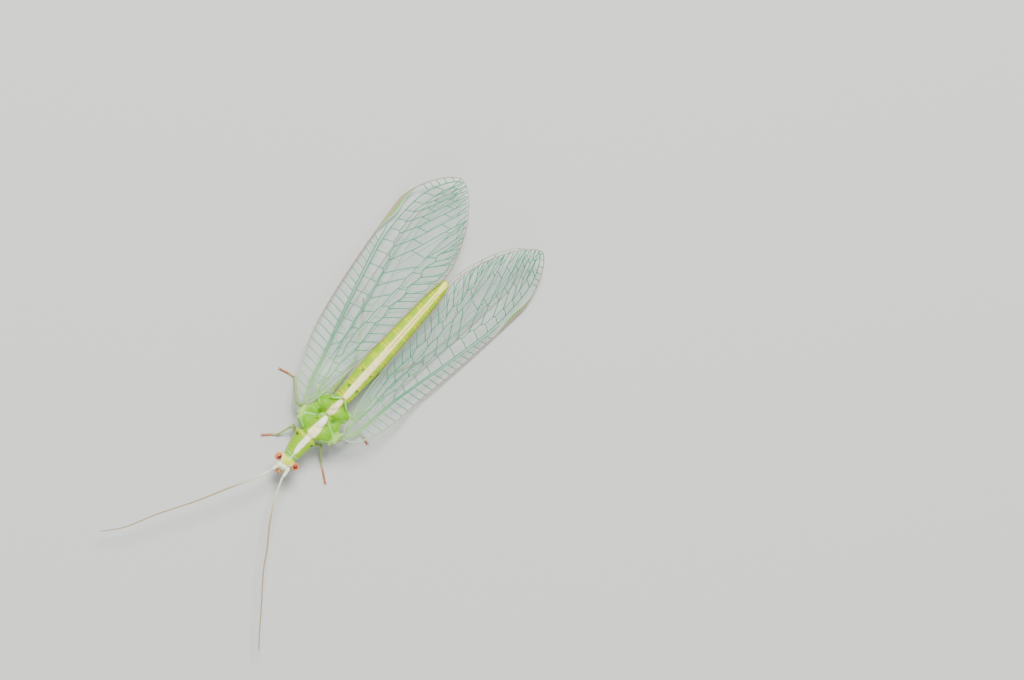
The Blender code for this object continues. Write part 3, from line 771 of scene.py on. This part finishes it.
def front_edge(t):
    """The costal margin's distance from the wing's axis at a share t of its length."""
    if t < COSTAL_PEAK:
        return COSTAL_DEPTH * quarter((COSTAL_PEAK - t) / COSTAL_PEAK, COSTAL_POWERS[0])
    return COSTAL_DEPTH * quarter((t - COSTAL_PEAK) / (1 - COSTAL_PEAK), COSTAL_POWERS[1])


def back_edge(t):
    """The hind margin's distance from the wing's axis."""
    if t < HIND_PEAK:
        return HIND_DEPTH * quarter((HIND_PEAK - t) / HIND_PEAK, HIND_POWERS[0])
    return HIND_DEPTH * quarter((t - HIND_PEAK) / (1 - HIND_PEAK), HIND_POWERS[1])


def wing_point(side, u, w, lift):
    """A point at u along the wing's axis and w across it to the hind margin, lifted off the surface."""
    share = smoothstep(u / (SLOPE_FULL_AT * WING_LENGTH))
    mid_slope = (SLOPE - CAMBER * w / 2) * share
    slope = (SLOPE - CAMBER * w) * share
    inwards = w * math.cos(mid_slope) - lift * math.sin(slope)
    height = ROOT_Z + (BLADE_Z - ROOT_Z) * share + w * math.sin(mid_slope) + lift * math.cos(slope)
    yaw = WING_YAW[side]
    x = ROOT_X[side] + u * math.sin(yaw) - inwards * math.cos(yaw)
    y = ROOT_Y + u * math.cos(yaw) + inwards * math.sin(yaw)
    return Vector((SIDES[side] * x, y, height))


def body_side(y):
    """How far the body reaches out from the midline at y, where a wing's hind margin meets it."""
    if y < 0.3:
        return 0.80 - 0.30 * smoothstep((y + 1.0) / 1.3)
    if y > ABDOMEN[1]:
        return 0.0
    return along(ABDOMEN_WIDTHS, (y - ABDOMEN[0]) / (ABDOMEN[1] - ABDOMEN[0])) * 0.96


RADIUS_VEIN, SUBCOSTA, SECTOR, MEDIA, FALSE_MEDIA, FALSE_CUBITUS = [
    drawn(path) for path in (RADIUS_VEIN, SUBCOSTA, SECTOR, MEDIA, FALSE_MEDIA, FALSE_CUBITUS)]
ANAL_VEINS = [drawn(path) for path in ANAL_VEINS]
# Cross veins near the root: place along the wing, and the two veins they join
ROOT_CROSSINGS = ((1.45, RADIUS_VEIN, MEDIA), (2.35, RADIUS_VEIN, MEDIA), (1.5, MEDIA, FALSE_CUBITUS),
                  (2.35, MEDIA, FALSE_CUBITUS), (1.2, FALSE_CUBITUS, ANAL_VEINS[0]),
                  (2.1, FALSE_CUBITUS, ANAL_VEINS[0]), (1.2, ANAL_VEINS[0], ANAL_VEINS[1]))


class Wing:
    """One wing's surface, told in the forewing's own measures."""

    def __init__(self, pair, side):
        self.name = f"{pair}_{side}"
        self.side = side
        self.fore = pair == "forewing"
        self.lifts = FORE_LIFTS if self.fore else HIND_LIFTS
        steps = 120
        self.backs = [self.drawn_back(WING_LENGTH * i / steps) for i in range(steps + 1)]

    def place(self, u, w, lift=0.0):
        """A point of the wing in millimetres."""
        if not self.fore:
            u = HIND_START + (HIND_LENGTH - HIND_START) * u / WING_LENGTH
            w = w * (HIND_FRONT_SHARE if w < 0 else HIND_BACK_SHARE)
        low, high = self.lifts
        film = low + (high - low) * smoothstep(u / (SLOPE_FULL_AT * WING_LENGTH))
        return wing_point(self.side, u, w, film + lift)

    def drawn_back(self, u):
        """The hind margin at u, drawn in where the body is in the way."""
        depth = back_edge(u / WING_LENGTH)
        while depth > 0.05:
            place = self.place(u, depth)
            if abs(place.x) >= body_side(place.y):
                break
            depth -= 0.01
        return depth

    def front(self, u):
        return -front_edge(min(1.0, max(0.0, u / WING_LENGTH)))

    def back(self, u):
        x = min(1.0, max(0.0, u / WING_LENGTH)) * (len(self.backs) - 1)
        i = min(int(x), len(self.backs) - 2)
        return self.backs[i] + (self.backs[i + 1] - self.backs[i]) * (x - i)

    def inside(self, u, w):
        """The nearest place to (u, w) that is still on the wing."""
        return min(max(w, self.front(u)), self.back(u))


def crowded(q):
    """A share of the wing's length that crowds towards root and tip as q goes from 0 to 1."""
    return 0.85 * (0.5 - 0.5 * math.cos(math.pi * q)) + 0.15 * q


def make_membrane(wing, material):
    columns, rows = 150, 34
    bpy.ops.mesh.primitive_grid_add(x_subdivisions=columns - 1, y_subdivisions=rows - 1, size=1)
    sheet = bpy.context.view_layer.objects.active
    for vertex in sheet.data.vertices:
        q, share = vertex.co.x + 0.5, vertex.co.y + 0.5
        t = 0.006 + 0.992 * crowded(q)
        u = WING_LENGTH * t
        front, back = wing.front(u), wing.back(u)
        vertex.co = wing.place(u, front + (back - front) * share)
    apply_modifier(sheet, "SOLIDIFY", thickness=MEMBRANE, offset=0.0)
    sheet.name = wing.name + "_membrane"
    settle(sheet, material, [wing.name])


def vein_net(wing):
    """Every vein as (points across the wing, radius at its start, radius at its end)."""
    veins = [(RADIUS_VEIN, THICK_VEIN * 1.25, MIDDLE_VEIN), (SUBCOSTA, THICK_VEIN, MIDDLE_VEIN),
             (SECTOR, MIDDLE_VEIN, FINE_VEIN), (MEDIA, THICK_VEIN, MIDDLE_VEIN),
             (FALSE_MEDIA, MIDDLE_VEIN, FINE_VEIN), (FALSE_CUBITUS, THICK_VEIN, FINE_VEIN)]
    veins += [(path, MIDDLE_VEIN, FINE_VEIN) for path in ANAL_VEINS]
    ladder = costal_ladder(wing)
    veins += (ladder if wing.fore else ladder[::2]) + radial_net(wing) + hind_net(wing)
    return veins


def cross_vein(path, u, other, other_u):
    """A fine vein straight from one vein to another."""
    return [(u, height_at(path, u)), (other_u, height_at(other, other_u))], FINE_VEIN, FINE_VEIN


def costal_ladder(wing):
    """Slanting cross veins between the front margin and the subcosta, and short ones past the stigma."""
    rungs = []
    count = int((STIGMA[0] - LADDER_START) / LADDER_STEP)
    for k in range(count + 1):
        u = LADDER_START + LADDER_STEP * k
        low = u - 0.14 + 0.02 * math.sin(k * 2.3)
        top, bottom = wing.front(u), height_at(SUBCOSTA, low)
        rungs.append(([(u, top), (u * 0.55 + low * 0.45, (top + bottom) / 2), (low, bottom)],
                      FINE_VEIN, FINE_VEIN))
    for k in range(5):
        u = STIGMA[1] + 0.10 + 0.26 * k
        rungs.append(([(u + 0.10, wing.front(u + 0.10)), (u, height_at(RADIUS_VEIN, u))],
                      FINE_VEIN, FINE_VEIN))
    return rungs


def radial_net(wing):
    """Cross veins and branches of the radial sector, with two rows of steps between the branches."""
    net = []
    for u in RADIAL_CROSSINGS:
        low = u + 0.16
        net.append(([(u, height_at(RADIUS_VEIN, u)), (u + 0.10, 0.5 * height_at(RADIUS_VEIN, u)
                                                      + 0.5 * height_at(SECTOR, low)),
                     (low, height_at(SECTOR, low))], FINE_VEIN, FINE_VEIN))
    for start, end in zip(SECTOR_JOINS, JOINS_ON_MEDIA):
        top, bottom = height_at(SECTOR, start), height_at(FALSE_MEDIA, end)
        middle = (start + end) / 2
        net.append(([(start, top), (middle + 0.03, (top + bottom) / 2), (end, bottom)],
                    MIDDLE_VEIN, FINE_VEIN))
    for u in MEDIA_CROSSINGS:
        net.append(cross_vein(FALSE_MEDIA, u, FALSE_CUBITUS, u + 0.22))
    for u, path, other in ROOT_CROSSINGS:
        net.append(cross_vein(path, u, other, u + 0.1))
    branches = []
    for start, end in zip(BRANCH_STARTS, BRANCH_ENDS):
        top, bottom = height_at(SECTOR, start), wing.back(end)
        reach = end - start
        branches.append([(start, top), (start + reach * 0.3, top + (bottom - top) * 0.36),
                         (start + reach * 0.65, top + (bottom - top) * 0.68), (end, bottom)])
    if not wing.fore:
        return net[::2] + [(path, FINE_VEIN, FINE_VEIN) for path in branches[::2]]
    for path in branches:
        net.append((path, MIDDLE_VEIN, FINE_VEIN))
        net += margin_fork(wing, path, -0.10, 0.6)
    for u, end in SHORT_BRANCHES:
        top, bottom = height_at(FALSE_MEDIA, u), wing.back(end)
        path = [(u, top), ((u + end) / 2, top * 0.45 + bottom * 0.55), (end, bottom)]
        net.append((path, FINE_VEIN, FINE_VEIN))
        net += margin_fork(wing, path, -0.09, 0.5)
    rows = [FALSE_MEDIA] + branches
    for low, high in zip(rows, rows[1:]):
        first = max(low[0][0], high[0][0])
        last = min(low[-1][0], high[-1][0])
        for share in (0.30, 0.74):
            u = first + (last - first) * share
            net.append(cross_vein(low, u, high, u - 0.10))
    return net


def hind_net(wing):
    """Slanting veins from the false cubitus to the hind margin, forked near it."""
    net, veins = [], []
    for k in range(15):
        u = 3.35 + 0.5 * k
        w = height_at(FALSE_CUBITUS, u)
        slope = height_at(HIND_VEIN_SLOPES, u)
        path = on_wing(wing, [(u, w), (u + 0.30, w + 0.32 * slope), (u + 0.9, w + slope),
                              (u + 2.0, w + 2.2 * slope)])
        veins.append(path)
        net.append((path, MIDDLE_VEIN, FINE_VEIN))
        if k > 5 and wing.fore:
            net += margin_fork(wing, path, -0.09, 0.4)
    if not wing.fore:
        return net[::2]
    for low, high in list(zip(veins, veins[1:]))[9:]:
        u = high[0][0] + 0.5
        if u < low[-1][0] - 0.15:
            net.append(cross_vein(high, u, low, u - 0.05))
    return net


def on_wing(wing, path):
    """The part of a path that stays on the wing, ended on its margin."""
    kept = [path[0]]
    for (u0, w0), (u1, w1) in zip(path, path[1:]):
        if u1 < WING_LENGTH and wing.front(u1) <= w1 <= wing.back(u1):
            kept.append((u1, w1))
            continue
        low, high = 0.0, 1.0
        for _ in range(12):
            share = (low + high) / 2
            u, w = u0 + (u1 - u0) * share, w0 + (w1 - w0) * share
            if u < WING_LENGTH and wing.front(u) <= w <= wing.back(u):
                low = share
            else:
                high = share
        if low > 0.02:
            kept.append((u0 + (u1 - u0) * low, w0 + (w1 - w0) * low))
        break
    return kept


def margin_fork(wing, path, spread, back_by=0.7):
    """A side vein that leaves a long vein shortly before the margin."""
    end_u, end_w = path[-1]
    start_u = end_u - back_by
    if start_u < path[0][0] + 0.2:
        return []
    start = (start_u, height_at(path, start_u))
    bend_u = start_u + back_by * 0.45
    fork = on_wing(wing, [start, (bend_u, height_at(path, bend_u) + spread),
                          (end_u + 0.1, end_w + spread * 1.5), (end_u + 0.5, end_w + spread * 1.8)])
    return [(fork, FINE_VEIN, FINE_VEIN)] if len(fork) > 1 else []


def vein_tube(wing, points, start_radius, end_radius, step=0.14):
    if not wing.fore:
        start_radius, end_radius = start_radius * HIND_VEIN_SHARE, end_radius * HIND_VEIN_SHARE
    path = smooth_path(points, step)
    tube = []
    for i, (u, w) in enumerate(path):
        t = i / max(1, len(path) - 1)
        place = wing.place(u, wing.inside(u, w), 0.004)
        tube.append((place, start_radius + (end_radius - start_radius) * t))
    return tube


def make_veins(wing, material, margin_material):
    """Raised veins, joined with the thicker veins round the margin."""
    inner = [vein_tube(wing, *vein) for vein in vein_net(wing) if len(vein[0]) > 1]
    net = tubes("net", inner, 1)
    net.data.materials.append(material)
    share = 1.0 if wing.fore else HIND_VEIN_SHARE
    steps = 130
    front, back = [], []
    for i in range(steps + 1):
        q = i / steps
        u = WING_LENGTH * (0.004 + 0.995 * crowded(q)) if i else 0.0
        front.append((wing.place(u, wing.front(u)), (0.040 - 0.010 * q) * share))
        back.append((wing.place(u, wing.back(u)), (0.020 + 0.010 * q) * share))
    margin = tubes("margin", [front + [back[-1]], back], 2)
    margin.data.materials.append(margin_material)
    paint(net, lambda place: vein_tone(place))
    paint(margin, lambda place: margin_tone(place))
    veins = join(wing.name + "_veins", [net, margin])
    settle(veins, None)


def vein_tone(place):
    """Green veins, yellower towards the wing's root."""
    return mix(colour("88B868"), colour("48966C"), smoothstep((place.y + 0.5) / 3.0))


def margin_tone(place):
    """Pinkish grey front margin, paler at the tip and greener at the root."""
    tone = mix(colour("A9B79A"), colour("A4887A"), smoothstep((place.y + 0.5) / 4.0))
    return mix(tone, colour("B0A898"), smoothstep((place.y - 9.5) / 1.5))


def make_stigma(wing, material):
    """The thickened patch near the tip of a wing's front margin, tan outside and green inside."""
    start, end = STIGMA
    bands = []
    for outer, inner, shade in STIGMA_BANDS:
        bpy.ops.mesh.primitive_grid_add(x_subdivisions=39, y_subdivisions=5, size=1)
        band = bpy.context.view_layer.objects.active
        for vertex in band.data.vertices:
            t, share = vertex.co.x + 0.5, vertex.co.y + 0.5
            u = start + (end - start) * t
            narrow = 0.06 + 0.94 * smoothstep(t / 0.5) * smoothstep((1 - t) / 0.5)
            w = wing.front(u) * 0.99 + (outer + (inner - outer) * share) * narrow
            vertex.co = wing.place(u, w, 0.006)
        apply_modifier(band, "SOLIDIFY", thickness=0.026, offset=0.0)
        tone = colour(shade)
        paint(band, lambda place: tone)
        bands.append(band)
    patch = join(wing.name + "_stigma", bands)
    settle(patch, material)


def make_wings():
    membrane = membrane_material()
    vein = painted_material("green wing vein", 0.45)
    margin = painted_material("pinkish wing margin", 0.45)
    stigma = painted_material("green wing stigma", 0.4)
    for pair in ("forewing", "hindwing"):
        for side in SIDES:
            wing = Wing(pair, side)
            make_membrane(wing, membrane)
            make_veins(wing, vein, margin)
            if wing.fore:
                make_stigma(wing, stigma)


# Stage

def make_stage():
    bpy.ops.mesh.primitive_plane_add(size=3, location=(0, 0, 0))
    floor = bpy.context.view_layer.objects.active
    floor.name = "floor"
    floor.data.materials.append(stage_material())
    world = bpy.data.worlds.new("studio")
    world.use_nodes = True
    world.node_tree.nodes["Background"].inputs["Color"].default_value = (0.9, 0.95, 1.0, 1.0)
    world.node_tree.nodes["Background"].inputs["Strength"].default_value = 0.5
    bpy.context.scene.world = world
    for name, place, size, power in (("key", (-0.10, 0.12, 0.26), 0.08, 1.8),
                                     ("fill", (0.20, -0.15, 0.22), 0.20, 0.35)):
        light = bpy.data.lights.new(name, "AREA")
        light.size = size
        light.energy = power
        lamp = bpy.data.objects.new(name, light)
        lamp.location = place
        lamp.rotation_euler = (-Vector(place)).to_track_quat("-Z", "Y").to_euler()
        bpy.context.scene.collection.objects.link(lamp)


def make_camera():
    """Looks down on the back from a little to the insect's right, as the photograph does."""
    towards = Vector((-math.sin(CAMERA_LEAN), 0, math.cos(CAMERA_LEAN)))
    across = Vector((math.cos(CAMERA_LEAN), 0, math.sin(CAMERA_LEAN)))
    right = across * math.cos(CAMERA_TURN) + Vector((0, math.sin(CAMERA_TURN), 0))
    up = towards.cross(right)
    target = Vector((MIDLINE_X + CAMERA_TARGET[0], CAMERA_TARGET[1], BODY_Z)) * MM
    data = bpy.data.cameras.new("camera")
    data.lens = CAMERA_LENS
    data.sensor_width = CAMERA_SENSOR
    data.clip_start = 0.001
    data.clip_end = 10
    place = target + towards * (VIEW_WIDTH * CAMERA_LENS / CAMERA_SENSOR * MM)
    camera = bpy.data.objects.new("camera", data)
    camera.matrix_world = Matrix((right, up, towards)).transposed().to_4x4()
    camera.location = place
    bpy.context.scene.collection.objects.link(camera)
    bpy.context.scene.camera = camera


make_camera()
make_stage()
make_skin(cuticle_material())
make_eyes(eye_material())
make_antennae(painted_material("ringed antenna cuticle", 0.5))
make_mouth(painted_material("brown mouthpart cuticle", 0.45))
make_feet(painted_material("reddish foot cuticle", 0.5))
make_wings()
